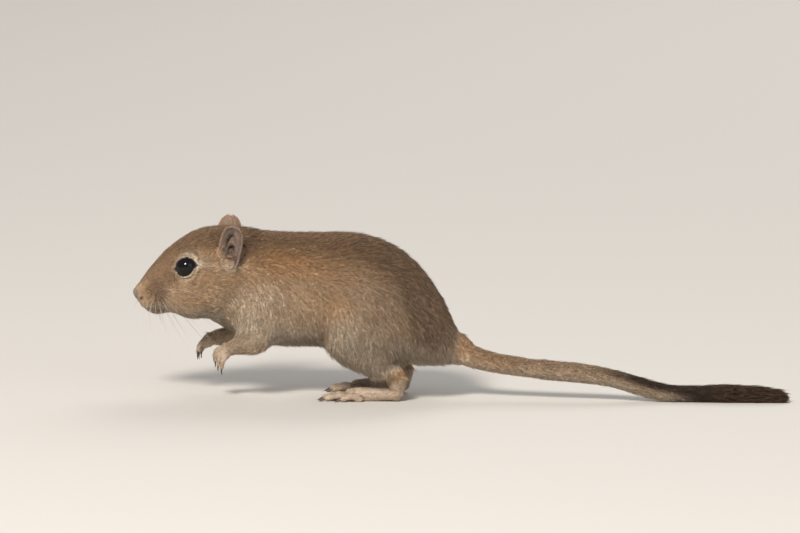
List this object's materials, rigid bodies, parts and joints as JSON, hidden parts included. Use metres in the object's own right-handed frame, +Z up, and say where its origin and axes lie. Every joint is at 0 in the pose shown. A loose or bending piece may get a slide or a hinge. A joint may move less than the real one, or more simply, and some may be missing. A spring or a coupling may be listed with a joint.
{
  "type": "gerbil",
  "caption": "Life-size still model of a crouching gerbil on its hind feet, forepaws lifted, long tufted tail trailing on the floor.",
  "frame": {"origin": "centre of the bounding box in X and Y, at the level that the soles and tail rest on", "axes": "+X towards the tail tip, so the nose points along -X, the animal's left side faces -Y, and +Z is up"},
  "size_m": [0.2368, 0.0464, 0.0634],
  "materials": {
    "coat_sand": "short sandy fur, grizzled",
    "coat_cream": "short cream fur",
    "coat_dark": "black-brown tail brush",
    "bare_skin": "thinly haired skin",
    "eye": "wet black",
    "claw": "horn"
  },
  "bodies": {
    "root": {"head": "coat_sand", "neck": "coat_sand", "chest": "coat_sand", "belly": "coat_sand", "rump": "coat_sand", "tail_1": "coat_sand", "tail_2": "coat_sand", "tail_3": "coat_sand", "upper_arm_left": "coat_sand", "forearm_left": "coat_sand", "thigh_left": "coat_sand", "shank_left": "coat_sand", "upper_arm_right": "coat_sand", "forearm_right": "coat_sand", "thigh_right": "coat_sand", "shank_right": "coat_sand", "lower_jaw": "coat_cream", "tail_4": "coat_dark", "nose": "bare_skin", "forepaw_left": "coat_cream", "hind_foot_left": "coat_cream", "ear_left": "bare_skin", "eye_left": "eye", "claw_fore_left_1": "claw", "claw_fore_left_2": "claw", "claw_fore_left_3": "claw", "claw_fore_left_4": "claw", "claw_hind_left_1": "claw", "claw_hind_left_2": "claw", "claw_hind_left_3": "claw", "claw_hind_left_4": "claw", "claw_hind_left_5": "claw", "forepaw_right": "coat_cream", "hind_foot_right": "coat_cream", "ear_right": "bare_skin", "eye_right": "eye", "claw_fore_right_1": "claw", "claw_fore_right_2": "claw", "claw_fore_right_3": "claw", "claw_fore_right_4": "claw", "claw_hind_right_1": "claw", "claw_hind_right_2": "claw", "claw_hind_right_3": "claw", "claw_hind_right_4": "claw", "claw_hind_right_5": "claw"}
  },
  "joints": []
}
